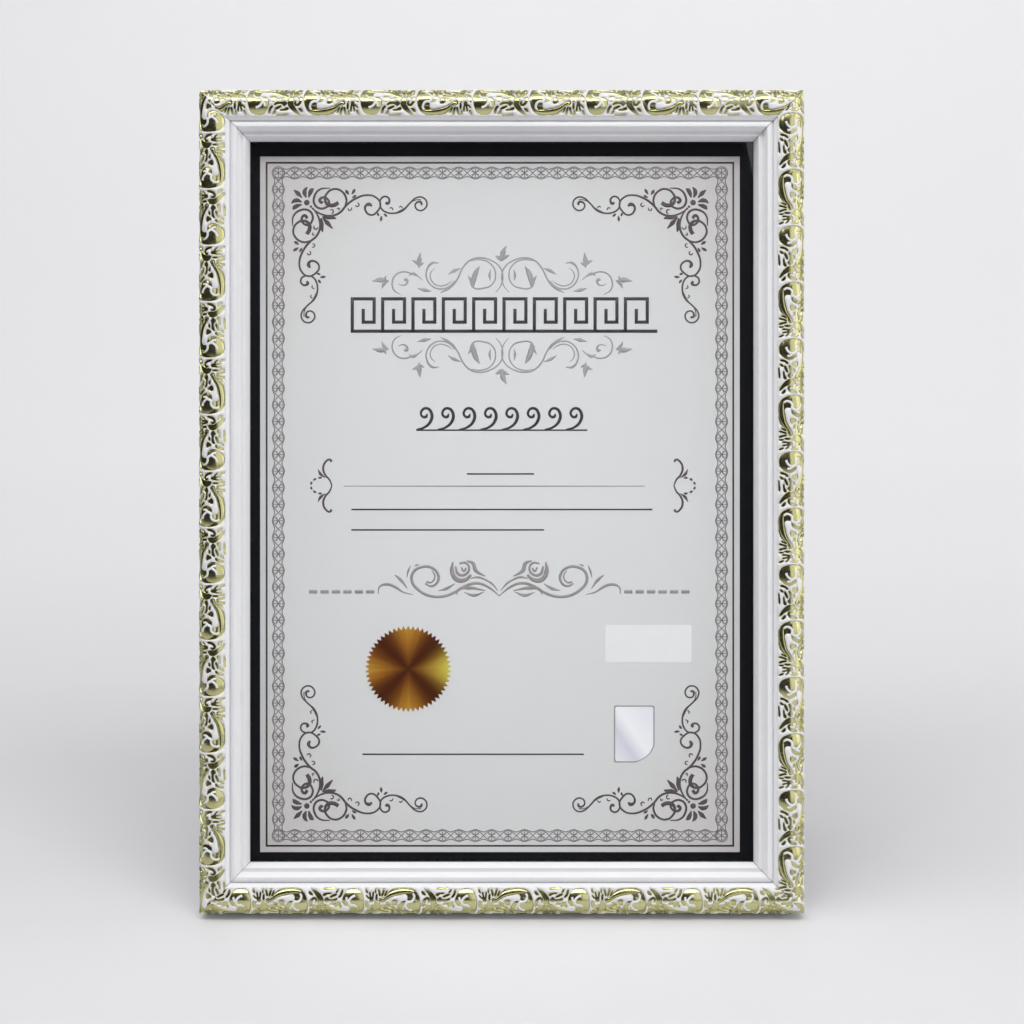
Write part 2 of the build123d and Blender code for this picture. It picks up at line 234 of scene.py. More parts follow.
def moulding_rail(name, length, place):
    bm = bmesh.new()
    end = bm.faces.new([bm.verts.new(((p + mitre_gap) * mm - length / 2, -q * mm, p * mm))
                        for p, q in moulding_section()])
    for vert in parts(bmesh.ops.extrude_face_region(bm, geom=[end])["geom"], BMVert):
        vert.co.x = -vert.co.x
    bmesh.ops.recalc_face_normals(bm, faces=bm.faces)
    for face in bm.faces:
        p = face.calc_center_median().z / mm
        q = -face.calc_center_median().y / mm
        on_band = p < foil_end and q > side_height + foil_start and abs(face.normal.x) < 0.1
        face.material_index = 1 if on_band else 0
    eased = []
    for edge in bm.edges:
        near, far = [vert.co for vert in edge.verts]
        if abs(near.x + far.x) < 1e-9 and near.z > slope_start[0] * mm and -near.y > slope_start[1] * mm:
            eased.append(edge)
    bmesh.ops.bevel(bm, geom=eased, offset=edge_ease * mm, segments=3, profile=0.5, affect="EDGES",
                    material=-1)
    into_place(bm, place)
    rail = finished(bm, name, white_lacquer, gold_foil)
    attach(rail, "frame")
    return rail


for side, (length, place) in rail_places.items():
    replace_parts(moulding_rail("moulding_" + side, length, place), side + "_rail")


# The relief on the band: a running acanthus scroll embossed into the moulding, every second scroll
# turned over. White lacquer is rolled onto its raised face, and the gold foil shows in the wells between.
half_scroll = 22.4
scroll_edge = -0.45
relief_arc = 14.1
relief_margin = 0.5
relief_rise = 0.8
sunk_depth = 0.05
wall_slope = 0.22
cut_spread = 1.6
cushion_reach = 0.8
bulb_middle = (4.2, 5.4)
bulb_half = (4.1, 4.2, 0.5)
crescent_height = 0.28
hook_height = 0.8
foil_wrap = 0.42
wrap_fade = 4.5
white_edge = 0.3
arc_steps = 18
long_steps = 20
band_flat = outer_round * pi / 2
scroll_starts = {"bottom": -57.2, "top": 11.2, "left": 34.8, "right": -87.0}
# How far in from the outer edge the foil wraps over the raised face on each rail. The lacquer is the same on
# all four, so the bottom rail's longer reach is painted shade and painted reflection of the gold.
foil_reach_and_painted_shade = {"bottom": 8.6, "top": 6.2, "left": 6.2, "right": 6.5}
well_outlines = [
    # the bulb, open below into the crescent under the horn leaf
    [(1.2, 0.6), (2.5, 0.22), (4.2, 0.14), (6.0, 0.25), (7.2, 0.8), (8.0, 1.6), (8.35, 2.6), (8.2, 3.6),
     (7.5, 4.5), (6.6, 5.0), (5.75, 4.85), (5.05, 5.3), (4.9, 6.3), (5.1, 7.2), (5.8, 7.75), (7.2, 7.6),
     (9.2, 7.25), (11.2, 6.7), (13.0, 5.8), (14.4, 4.9), (15.5, 4.4), (16.2, 5.0), (16.1, 5.8), (15.3, 6.2),
     (14.2, 6.4), (13.4, 7.0), (12.8, 8.0), (11.4, 9.1), (9.0, 9.8), (6.0, 9.9), (3.4, 9.6), (1.7, 8.7),
     (0.7, 7.2), (0.15, 5.4), (0.05, 3.5), (0.35, 1.9)],
    # the eye of the three-lobed leaf
    [(9.1, 5.2), (9.5, 4.2), (10.1, 3.35), (10.8, 4.1), (11.3, 4.9), (10.7, 5.4), (9.8, 5.6)],
    # the hand of blades below the collar
    [(18.6, 5.4), (18.8, 4.8), (19.3, 4.6), (19.8, 5.0), (20.0, 5.7), (20.6, 6.1), (21.3, 6.9), (21.4, 7.3),
     (20.8, 6.9), (20.1, 6.5), (20.0, 7.2), (20.2, 8.4), (19.9, 8.5), (19.5, 7.3), (19.2, 6.6), (18.9, 7.4),
     (18.7, 8.6), (18.4, 8.5), (18.4, 7.0), (18.5, 6.2)],
]
slit_lines = [
    # the cuts between the lobes of the leaf
    [(11.9, 4.05, 0.15), (12.5, 4.15, 0.26), (13.1, 4.3, 0.15)],
    [(10.6, 2.35, 0.15), (11.4, 2.8, 0.28), (12.6, 3.0, 0.26), (13.7, 2.9, 0.3), (14.5, 2.75, 0.62),
     (15.0, 2.8, 0.45)],
    [(10.9, 1.15, 0.2), (11.8, 1.4, 0.28), (12.7, 1.7, 0.24), (13.3, 1.95, 0.12)],
    [(13.0, 0.9, 0.12), (14.4, 0.95, 0.2), (15.7, 1.25, 0.33)],
    [(8.45, 0.35, 0.2), (8.75, 0.95, 0.26), (9.2, 1.5, 0.26), (9.75, 1.9, 0.2)],
    [(10.0, 0.25, 0.12), (10.8, 0.7, 0.2)],
    [(11.6, 0.1, 0.15), (13.0, 0.13, 0.2), (15.5, 0.2, 0.15)],
    # the collar and the arch behind it
    [(20.4, 0.2, 0.15), (18.8, 0.75, 0.4), (17.6, 1.7, 0.6), (17.0, 2.8, 0.68), (17.3, 3.8, 0.6),
     (17.6, 4.5, 0.25)],
    [(18.95, 3.5, 0.15), (18.8, 2.7, 0.26), (19.5, 2.25, 0.28), (20.4, 2.6, 0.28), (21.0, 3.6, 0.28),
     (21.35, 4.9, 0.15)],
    [(20.4, 1.2, 0.2), (21.0, 0.95, 0.32), (21.6, 0.6, 0.2)],
    # the fan of thin cuts on the open side
    [(14.0, 7.1, 0.15), (13.6, 7.9, 0.2), (13.2, 8.8, 0.12)],
    [(15.1, 7.0, 0.15), (14.7, 8.2, 0.22), (14.3, 9.6, 0.14)],
    [(15.9, 7.0, 0.15), (16.1, 8.2, 0.22), (16.6, 9.7, 0.15)],
    [(17.25, 5.4, 0.15), (17.3, 6.3, 0.24), (17.2, 7.6, 0.14)],
    [(17.6, 8.2, 0.12), (17.7, 9.0, 0.18), (17.6, 9.7, 0.1)],
    [(20.9, 8.2, 0.14), (21.3, 9.0, 0.2), (21.55, 9.7, 0.12)],
]
crescent_line = [(2.4, 8.5, 0.5), (5.0, 8.9, 0.95), (7.6, 8.8, 1.15), (10.3, 8.15, 1.05), (12.3, 7.2, 0.75),
                 (13.8, 6.0, 0.5), (15.2, 5.35, 0.7), (15.9, 5.2, 0.3)]
hook_lines = [
    # the forked hook that stands in the bulb, and its curled foot
    [(3.3, 1.5, 0.52), (4.3, 1.75, 0.44), (5.4, 2.5, 0.46), (5.9, 3.4, 0.5), (5.5, 4.3, 0.52),
     (4.9, 4.95, 0.55)],
    [(6.8, 1.85, 0.46), (6.75, 2.6, 0.46), (6.2, 3.4, 0.42)],
    [(5.3, 4.95, 0.5), (4.0, 4.75, 0.46), (3.0, 5.15, 0.48), (2.4, 6.15, 0.5), (2.35, 7.1, 0.52),
     (2.9, 7.9, 0.46)],
]


def along_band(p):
    """How far round the band from its foot a point is that lies p in from the outer edge."""
    if p < outer_round:
        return outer_round * acos(1 - p / outer_round)
    return band_flat + inner_round * asin((p - outer_round) / inner_round)


def band_point(arc, rise):
    """The inward and forward place of a point that far round the band and that high above it."""
    if arc < band_flat:
        turn = arc / outer_round
        reach = outer_round + rise
        return outer_round - reach * cos(turn), side_height + reach * sin(turn)
    turn = (arc - band_flat) / inner_round
    reach = inner_round + rise
    return outer_round + reach * sin(turn), crest - inner_round + reach * cos(turn)


def unrolled(lines):
    return [[(point[0], along_band(point[1]), *point[2:]) for point in line] for line in lines]


def widened(lines, times):
    return [[(x, y, times * half_width) for x, y, half_width in line] for line in lines]


def stroke_outline(line):
    """The closed outline of a tapered stroke given by its x, y and half width along it."""
    near, far = [], []
    for index, (x, y, half_width) in enumerate(line):
        back, ahead = line[max(index - 1, 0)], line[min(index + 1, len(line) - 1)]
        along = Vector((ahead[0] - back[0], ahead[1] - back[1])).normalized() * half_width
        near.append((x - along.y, y + along.x))
        far.append((x + along.y, y - along.x))
        if index == 0:
            tail = (x - along.x, y - along.y)
    tip = (x + along.x, y + along.y)
    return [tail, *near, tip, *reversed(far)]


def smooth_line(curve, points, steps, joined=False):
    spline = curve.splines.new("BEZIER")
    spline.bezier_points.add(len(points) - 1)
    spline.resolution_u = steps
    spline.use_cyclic_u = joined
    for point, (x, y, *half_width) in zip(spline.bezier_points, points):
        point.co = (x, y, 0)
        if half_width:
            point.radius = half_width[0]
        point.handle_left_type = point.handle_right_type = "AUTO"


def taken_from(curve):
    """A bmesh of the curve's surface, in place of the curve."""
    drawing = bpy.data.objects.new(curve.name, curve)
    mesh = bpy.data.meshes.new_from_object(drawing)
    bm = bmesh.new()
    bm.from_mesh(mesh)
    bpy.data.objects.remove(drawing)
    bpy.data.curves.remove(curve)
    bpy.data.meshes.remove(mesh)
    return bm


def pierced_sheet(corners, holes):
    """A flat sheet with the given holes."""
    curve = bpy.data.curves.new("sheet", "CURVE")
    curve.dimensions = "2D"
    curve.fill_mode = "FRONT"
    edge = curve.splines.new("POLY")
    edge.points.add(len(corners) - 1)
    for point, (x, y) in zip(edge.points, corners):
        point.co = (x, y, 0, 1)
    edge.use_cyclic_u = True
    for hole in holes:
        smooth_line(curve, hole, 3, joined=True)
    return taken_from(curve)


def drawn_lines(lines, sides, steps):
    """Tapered round strokes along the given points, each x, y and half width, all on one level."""
    curve = bpy.data.curves.new("strokes", "CURVE")
    curve.dimensions = "3D"
    curve.bevel_depth = 1.0
    curve.bevel_resolution = sides
    curve.use_fill_caps = True
    for line in lines:
        smooth_line(curve, line, steps)
    bm = taken_from(curve)
    bmesh.ops.remove_doubles(bm, verts=bm.verts, dist=1e-4)
    bmesh.ops.recalc_face_normals(bm, faces=bm.faces)
    return bm


def sliced(bm, point, normal, near, **options):
    return bmesh.ops.bisect_plane(bm, geom=[*bm.verts, *bm.edges, *bm.faces], dist=near, plane_co=point,
                                  plane_no=normal, **options)["geom_cut"]


def half_face():
    """The raised face of half a scroll, unrolled flat and cut in strips that can follow the band."""
    left, right = scroll_edge, scroll_edge + half_scroll
    low, high = relief_margin, relief_arc - relief_margin
    cuts = widened(unrolled(slit_lines), cut_spread)
    holes = unrolled(well_outlines) + [stroke_outline(line) for line in cuts]
    bm = pierced_sheet([(left, low), (right, low), (right, high), (left, high)], holes)
    for step in range(1, arc_steps):
        sliced(bm, (0, low + (high - low) * step / arc_steps, 0), (0, 1, 0), 1e-5)
    for step in range(1, long_steps):
        sliced(bm, (left + half_scroll * step / long_steps, 0, 0), (1, 0, 0), 1e-5)
    bm.normal_update()
    bmesh.ops.reverse_faces(bm, faces=[face for face in bm.faces if face.normal.z < 0])
    return closed(bm, "scroll_face")


def bulb_height(x, y):
    off = ((x - bulb_middle[0]) / bulb_half[0]) ** 2 + ((y - bulb_middle[1]) / bulb_half[1]) ** 2
    return bulb_half[2] * max(0.0, 1 - off)


def gold_swells():
    """The domed bulb and the rounded crescent that fill the largest well."""
    bm = drawn_lines(unrolled([crescent_line]), 3, 4)
    bmesh.ops.scale(bm, vec=(1, 1, crescent_height), verts=bm.verts)
    dome = Matrix.Translation((*bulb_middle, 0)) @ Matrix.Diagonal((*bulb_half, 1))
    bulb = bmesh.ops.create_uvsphere(bm, u_segments=28, v_segments=16, radius=1.0, matrix=dome)
    for vert in bulb["verts"]:
        vert.co.z = bulb_height(vert.co.x, vert.co.y) if vert.co.z > -1e-6 else -sunk_depth
    return closed(bm, "scroll_swells")


def hooks_on_bulb():
    bm = drawn_lines(unrolled(hook_lines), 2, 4)
    for vert in bm.verts:
        vert.co.z = hook_height * vert.co.z + bulb_height(vert.co.x, vert.co.y)
    return closed(bm, "scroll_hooks")


relief_lacquer, tree, shader = new_material("relief_lacquer")
white = mottled(tree, shader, 60.0, (0.86, 0.86, 0.87, 1), (0.8, 0.8, 0.82, 1), (0.3, 0.4), 0.05)
rise = node(tree, "Attribute", {}, attribute_name="rise").outputs["Fac"]
wear = maths(tree, "MULTIPLY_ADD", noise(tree, object_point(tree), 900.0, 2.0), 0.25, 0.1)
worn = maths(tree, "LESS_THAN", rise, wear)
wired(tree, shader, {"Base Color": mixed(tree, worn, white, foil_gold), "Metallic": worn})
scroll_face = half_face()
scroll_hooks = hooks_on_bulb()
scroll_swells = gold_swells()


def rolled_out(bm, mesh, start, length):
    """Lays a half scroll along the whole rail, every second one turned over, still flat."""
    first_vert, first_face = len(bm.verts), len(bm.faces)
    first = floor((-length / mm / 2 - start) / half_scroll)
    last = ceil((length / mm / 2 - start) / half_scroll) + 1
    for count in range(first, last):
        known_verts, known_faces = len(bm.verts), len(bm.faces)
        bm.from_mesh(mesh)
        bm.verts.ensure_lookup_table()
        bm.faces.ensure_lookup_table()
        for vert in bm.verts[known_verts:]:
            vert.co.x += start + count * half_scroll
            if count % 2:
                vert.co.y = relief_arc - vert.co.y
        if count % 2:
            bmesh.ops.reverse_faces(bm, faces=bm.faces[known_faces:])
    return bm.verts[first_vert:], bm.faces[first_face:]


def swell_face(verts, underside):
    """Raises the flat face to full height away from its edges, so that each leaf is round like a cushion."""
    rim = [vert.co.copy() for vert in verts if vert.is_boundary]
    tree = kdtree.KDTree(len(rim))
    for index, place in enumerate(rim):
        tree.insert(place, index)
    tree.balance()
    for vert in verts:
        inside = min(1.0, tree.find(vert.co)[2] / cushion_reach)
        sunk = vert.is_boundary or vert in underside
        vert.co.z = -sunk_depth if sunk else relief_rise * inside * (2 - inside)


def scroll_relief(name, length, place, start, reach):
    bm = bmesh.new()
    hooks = set(rolled_out(bm, scroll_hooks, start, length)[0])
    swell_verts, swell_faces = rolled_out(bm, scroll_swells, start, length)
    flat_verts, flat_faces = rolled_out(bm, scroll_face, start, length)
    for face in swell_faces:
        face.material_index = 1
    bmesh.ops.remove_doubles(bm, verts=flat_verts, dist=1e-3)
    bm.normal_update()
    upper = [face for face in flat_faces if face.is_valid]
    under = bmesh.ops.duplicate(bm, geom=upper)["geom"]
    bmesh.ops.reverse_faces(bm, faces=parts(under, BMFace))
    bmesh.ops.inset_region(bm, faces=upper, thickness=wall_slope, use_boundary=True, use_even_offset=True)
    set_in = hooks.union(swell_verts)
    leaves = [vert for vert in bm.verts if vert not in set_in]
    swell_face(leaves, set(parts(under, BMVert)))
    bmesh.ops.remove_doubles(bm, verts=[vert for vert in leaves if vert.is_boundary], dist=1e-4)
    rise = bm.verts.layers.float.new("rise")
    for vert in bm.verts:
        full = vert in hooks or vert.co.y > relief_arc - relief_margin - white_edge
        vert[rise] = relief_rise if full else vert.co.z
        # Foil over the raised face near the outer edge; the bottom rail's longer reach is painted shade and
        # painted reflection of the gold.
        vert[rise] -= foil_wrap * min(1.0, max(0.0, (reach - vert.co.y) / wrap_fade))
        p, q = band_point(vert.co.y, vert.co.z)
        vert.co = (-vert.co.x * mm, -q * mm, p * mm)
    bmesh.ops.reverse_faces(bm, faces=bm.faces)
    for end in (1, -1):
        cut = sliced(bm, (end * length / 2, 0, 0), (end, 0, 1), 1e-7, clear_outer=True)
        for cap in bmesh.ops.holes_fill(bm, edges=parts(cut, BMEdge), sides=0)["faces"]:
            side = cap.loops[0]
            if side.link_loop_radial_next.vert == side.vert:
                cap.normal_flip()
    into_place(bm, place)
    relief = finished(bm, name, relief_lacquer, gold_foil, sharp=75)
    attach(relief, "frame")


for side, (length, place) in rail_places.items():
    scroll_relief("scroll_relief_" + side, length, place, scroll_starts[side], foil_reach_and_painted_shade[side])
for pattern in (scroll_face, scroll_hooks, scroll_swells):
    bpy.data.meshes.remove(pattern)


# The corner nails: pairs of V-shaped strips of spring steel, pressed across each mitre from behind.
# The steel is bright zinc plated, with the fine drawing lines of strip.
strip, given, out = new_group("drawn_metal", {"Vector": "Vector", "Color": "Color", "Stain": "Color"})
stretch = node(strip, "Mapping", {"Vector": given["Vector"], "Scale": (1.0, 1.0, 0.06)})
scratch = noise(strip, stretch.outputs["Vector"], 2600.0, 4.0)
cloud = noise(strip, given["Vector"], 140.0, 5.0)
wired(strip, out, {
    "Color": mixed(strip, ranged(strip, cloud, 0.42, 0.75), given["Color"], given["Stain"]),
    "Roughness": ranged(strip, scratch, 0.3, 0.7, 0.24, 0.42),
    "Height": scratch})


def steel_material(name, colour, stain):
    material, tree, shader = new_material(name)
    inputs = {"Vector": object_point(tree), "Color": colour, "Stain": stain}
    surfaced(tree, shader, strip, inputs, 0.12, 0.0001)
    wired(tree, shader, {"Metallic": 1.0})
    return material


def dressed(start, material):
    """Gives a material to each CAD node whose name starts in this way."""
    for name in nodes:
        if name.startswith(start):
            for slot in nodes[name].material_slots:
                slot.material = material


dressed("corner_v_nails", steel_material("spring_steel", (0.6, 0.6, 0.59, 1), (0.45, 0.45, 0.46, 1)))


# The glass: a 2 mm pane of clear float glass, cut square, that drops into the rabbet from behind.
# Light reaches the sheet through it, and its face mirrors the room a little.
float_glass, tree, shader = new_material("float_glass")
haze = ranged(tree, noise(tree, object_point(tree), 30.0, 4.0), 0.35, 0.75, 0.0, 0.02)
wired(tree, shader, {"Base Color": (0.975, 0.985, 0.98, 1), "IOR": 1.42, "Transmission Weight": 1.0,
                     "Roughness": haze})
shadow = node(tree, "LightPath", {}).outputs["Is Shadow Ray"]
clear = node(tree, "BsdfTransparent", {}).outputs["BSDF"]
both = node(tree, "MixShader", {0: shadow, 1: shader.outputs["BSDF"], 2: clear})
wired(tree, tree.nodes["Material Output"], {"Surface": both.outputs["Shader"]})
dressed("glass_pane", float_glass)


# The sheet: an A4 insert of coated paper, printed silver grey to a black edge.
# It lies loose between the glass and the card, a little to the left.
sheet_face = 4.5
field_middle = (-0.75, 162.5)
field_half = (96.4, 139.8)
edge_black = (0.0035, 0.0035, 0.006, 1)
upright = stand.inverted()


def sheet_place(tree, start, size):
    """How far across and up the sheet a point lies from the start, as parts of the size."""
    point = node(tree, "Mapping", {"Vector": object_point(tree), "Location": upright.translation,
                                   "Rotation": upright.to_euler()}).outputs["Vector"]
    place = node(tree, "SeparateXYZ", {"Vector": point}).outputs
    return [maths(tree, "DIVIDE", maths(tree, "SUBTRACT", place[axis], start[index] * mm), size[index] * mm)
            for index, axis in enumerate("XZ")]


def ramp(tree, factor, stops):
    made = node(tree, "ValToRGB", {"Fac": factor})
    while len(made.color_ramp.elements) < len(stops):
        made.color_ramp.elements.new(0.5)
    for element, (place, colour) in zip(made.color_ramp.elements, stops):
        element.position = place
        element.color = colour
    return made.outputs["Color"]


coated_paper, tree, shader = new_material("coated_paper")
across, up = [maths(tree, "ABSOLUTE", off) for off in sheet_place(tree, field_middle, field_half)]
inside = maths(tree, "MULTIPLY", maths(tree, "LESS_THAN", across, 1.0), maths(tree, "LESS_THAN", up, 1.0))
outwards = maths(tree, "ADD", maths(tree, "POWER", across, 2.0), maths(tree, "POWER", up, 2.0))
silver = ramp(tree, maths(tree, "MULTIPLY", outwards, 0.5), [
    (0.0, (0.615, 0.62, 0.632, 1)), (0.45, (0.575, 0.574, 0.582, 1)), (1.0, (0.47, 0.44, 0.446, 1))])
fibre = noise(tree, object_point(tree), 1500.0, 4.0)
grainy = mixed(tree, 1.0, silver, ranged(tree, fibre, 0.0, 1.0, 0.97, 1.02), blend_type="MULTIPLY")
wired(tree, shader, {"Base Color": mixed(tree, inside, edge_black, grainy),
                     "Roughness": ranged(tree, fibre, 0.0, 1.0, 0.5, 0.62), "Specular IOR Level": 0.1})
bumped(tree, shader, fibre, 0.04, 0.0001)
dressed("certificate_sheet", coated_paper)


# The printed border: a dark rule and a guilloche chain round the field, with a rosette at each corner.
# It is offset ink, so each line is only a few hundredths of a millimetre thick.
ink_lift = 0.025
ink_height = 0.02
rule_half = (93.8, 137.3)
rule_ink = 0.36
chain_half = (89.1, 133.2)
chain_pitch = 6.65
edge_reach = 1.95
edge_swing = 0.5
edge_ink = 0.17
strand_reach = 2.0
strand_ink = 0.15
tie_reach = 1.35
tie_ink = 0.1
petal_start = 0.5
petal_end = 1.75
petal_ink = 0.16
dot_half = 0.35
dot_ink = 0.45
corner_rings = (2.5, 1.95)
corner_petal_end = 1.9


def ink_material(name, full, thin):
    return coated(name, {}, 260.0, full, thin, (0.4, 0.55))


def laid_on_sheet(bm, name, ink, sharp=180):
    into_place(bm, Matrix.Identity(4))
    piece = finished(bm, name, ink, sharp=sharp)
    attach(piece, "frame")


def printed(name, lines, ink, sides=1, steps=5):
    bm = drawn_lines(lines, sides, steps)
    for vert in bm.verts:
        x, z, height = vert.co
        vert.co = (x * mm, -(sheet_face + ink_lift + ink_height * height) * mm, z * mm)
    laid_on_sheet(bm, name, ink)


def mirrored(lines, middle, axis):
    return [[tuple(2 * middle - value if index == axis else value for index, value in enumerate(point))
             for point in line] for line in lines]


def box_lines(half, ink):
    x, z = field_middle
    low, high = z - half[1], z + half[1]
    left, right = x - half[0], x + half[0]
    flat = [[(left - ink, level, ink), (right + ink, level, ink)] for level in (low, high)]
    return flat + [[(edge, low - ink, ink), (edge, high + ink, ink)] for edge in (left, right)]


def flower(x, y, reach):
    """A dot and six thin lines that part the petals round it."""
    lines = [[(x - dot_half, y, dot_ink), (x + dot_half, y, dot_ink)]]
    for turn in range(6):
        a, b = cos(pi * (turn + 0.5) / 3), sin(pi * (turn + 0.5) / 3)
        lines.append([(x + end * a, y + end * b, petal_ink) for end in (petal_start, reach)])
    return lines


def chain_lines(half_length):
    """The crossing strands of one side of the chain and the flowers that they tie, along x."""
    links = round(2 * half_length / chain_pitch)
    pitch = 2 * half_length / links
    lines = []
    for turn in (1, -1):
        edge, strand, tie = [], [], []
        for step in range(1, 4 * links):
            s = step * pitch / 4 - half_length
            edge.append((s, turn * (edge_reach + edge_swing * cos(step * pi / 2)), edge_ink))
            strand.append((s, turn * strand_reach * cos(step * pi / 4), strand_ink))
            tie.append((s, turn * tie_reach * sin(step * pi / 2), tie_ink))
        lines += [edge, strand, tie]
    for link in range(1, links):
        lines += flower(link * pitch - half_length, 0, petal_end)
    return lines


def ring(x, y, radius):
    eighth = 0.785  # of a full turn, a hair short so that the ring's two ends stay apart
    return [(x + radius * cos(turn * eighth), y + radius * sin(turn * eighth), edge_ink) for turn in range(9)]


def border_lines():
    x, z = field_middle
    wide, tall = chain_half
    lines = []
    for end in (1, -1):
        lines += [[(x + s, z + end * tall + t, r) for s, t, r in line] for line in chain_lines(wide)]
        lines += [[(x + end * wide + t, z + s, r) for s, t, r in line] for line in chain_lines(tall)]
        for side in (1, -1):
            middle = (x + side * wide, z + end * tall)
            lines += [ring(*middle, radius) for radius in corner_rings] + flower(*middle, corner_petal_end)
    return lines


dark_ink = ink_material("dark_ink", (0.022, 0.019, 0.022, 1), (0.035, 0.03, 0.034, 1))
mauve_grey_ink = ink_material("mauve_grey_ink", (0.13, 0.105, 0.115, 1), (0.18, 0.15, 0.16, 1))
printed("print_rule", box_lines(rule_half, rule_ink), dark_ink)
printed("print_chain_border", border_lines(), mauve_grey_ink, sides=0, steps=4)


# The corner flourishes: a palmette on the diagonal and a leafy scroll along each side, printed four times.
# The scroll is drawn once from the palmette outwards and turned over the diagonal and the middle lines.
palmette = (-78.4, 283.8)
flourish_spread = 1.25
thinnest_ink = 0.2
scroll_arm = [
    [(2.0, 2.3, 0.2), (5.9, 4.7, 0.3), (9.9, 5.3, 0.34), (13.2, 4.1, 0.36), (16.1, 0.9, 0.36),
     (20.0, -1.8, 0.34), (24.5, -3.0, 0.3), (27.9, -2.0, 0.3), (29.6, 0.6, 0.3), (28.4, 3.5, 0.3),
     (25.9, 5.0, 0.3), (23.6, 3.2, 0.32), (23.8, 1.2, 0.4), (25.1, 0.7, 0.6), (26.2, 1.4, 0.3)],
    [(29.3, 0.0, 0.2), (29.9, 2.3, 0.28), (31.8, 3.8, 0.28), (35.2, 4.3, 0.28), (38.6, 3.2, 0.28),
     (41.4, 0.3, 0.26), (44.2, -2.0, 0.26), (46.7, -2.0, 0.26), (48.3, 0.3, 0.26), (47.3, 2.6, 0.26),
     (45.0, 3.1, 0.26), (43.6, 1.5, 0.26), (44.2, 0.0, 0.28), (45.9, -0.1, 0.4), (46.2, 1.1, 0.3)],
    [(35.8, 4.1, 0.1), (39.4, 2.2, 0.16), (42.2, -0.3, 0.16), (44.2, -1.1, 0.16), (46.0, -1.1, 0.1)],
    [(29.4, 0.9, 0.2), (29.7, -1.2, 0.28), (31.0, -2.4, 0.3), (32.7, -2.0, 0.3), (33.2, -0.6, 0.34),
     (32.4, 0.4, 0.5), (31.6, -0.1, 0.3)],
    [(9.3, -5.8, 0.12), (5.3, -5.3, 0.3), (3.1, -2.6, 0.36), (3.1, 0.6, 0.36), (5.1, 2.3, 0.36),
     (7.6, 2.0, 0.34), (9.0, 0.6, 0.34), (8.2, -1.5, 0.36), (6.2, -2.0, 0.4), (5.2, -0.8, 0.5),
     (6.4, 0.2, 0.5)],
    [(15.5, 1.5, 0.3), (15.9, -1.5, 0.34), (13.8, -4.7, 0.34), (10.7, -5.4, 0.34), (8.2, -3.8, 0.34),
     (7.3, -1.2, 0.4), (8.7, 0.9, 0.6), (11.0, 1.0, 0.65), (12.7, 0.0, 0.6)],
    [(9.3, 2.9, 0.12), (10.4, 3.0, 0.22), (10.6, 4.0, 0.22), (9.9, 4.5, 0.15)],
    [(12.0, 2.6, 0.1), (13.0, 2.3, 0.2), (12.9, 3.2, 0.12)],
    [(16.6, 2.2, 0.15), (16.9, 3.1, 0.2), (17.8, 2.9, 0.2), (18.0, 2.0, 0.12)],
    [(19.5, 1.1, 0.15), (20.3, 1.6, 0.2), (21.0, 0.9, 0.22), (20.4, 0.0, 0.12)],
    [(33.2, 2.3, 0.12), (34.1, 2.1, 0.2), (34.7, 3.1, 0.12)],
    [(37.1, 1.9, 0.12), (37.8, 1.5, 0.2), (38.5, 2.3, 0.12)],
    [(15.6, -5.1, 0.15), (16.1, -4.3, 0.55), (16.9, -3.2, 0.12)],
    [(19.4, -5.5, 0.15), (18.9, -4.6, 0.5), (18.1, -3.3, 0.12)],
    [(19.9, -2.9, 0.15), (19.2, -2.5, 0.42), (18.2, -1.9, 0.12)],
    [(28.4, 4.1, 0.12), (28.7, 4.8, 0.4), (28.9, 5.5, 0.12)],
    [(30.0, 5.4, 0.12), (29.9, 6.6, 0.45), (29.8, 7.6, 0.12)],
    [(31.0, 4.5, 0.12), (31.7, 5.1, 0.42), (32.4, 5.6, 0.12)],
    [(-6.2, 0.3, 0.15), (-5.0, -0.7, 0.6), (-3.8, -0.9, 0.7), (-2.0, -0.2, 0.2)],
    [(-5.6, 2.8, 0.2), (-4.9, 1.9, 0.7), (-3.8, 1.3, 0.65), (-2.0, 0.8, 0.2)],
    [(6.2, 5.8, 0.25), (8.7, 6.0, 0.65), (10.6, 6.1, 0.5), (11.8, 6.4, 0.2)],
]
diagonal_leaves = [
    [(-5.2, -5.1, 0.12), (-3.6, -3.7, 0.75), (-1.9, -1.9, 0.15)],
    [(6.4, 6.1, 0.2), (8.3, 8.2, 0.75), (10.4, 10.5, 0.15)],
    [(-0.8, -0.8, 0.2), (-0.4, -0.4, 0.85), (0.4, 0.4, 0.85), (0.8, 0.8, 0.2)],
    [(1.3, 1.3, 0.15), (1.65, 1.65, 0.5), (2.0, 2.0, 0.15)],
]
both_arms = scroll_arm + [[(v, u, r) for u, v, r in line] for line in scroll_arm] + diagonal_leaves
one_corner = [[(palmette[0] + u, palmette[1] - v, max(thinnest_ink, r)) for u, v, r in line]
              for line in widened(both_arms, flourish_spread)]
top_corners = one_corner + mirrored(one_corner, field_middle[0], 0)
mauve_ink = ink_material("mauve_ink", (0.06, 0.042, 0.05, 1), (0.085, 0.064, 0.072, 1))
printed("print_corner_flourishes", top_corners + mirrored(top_corners, field_middle[1], 1), mauve_ink)


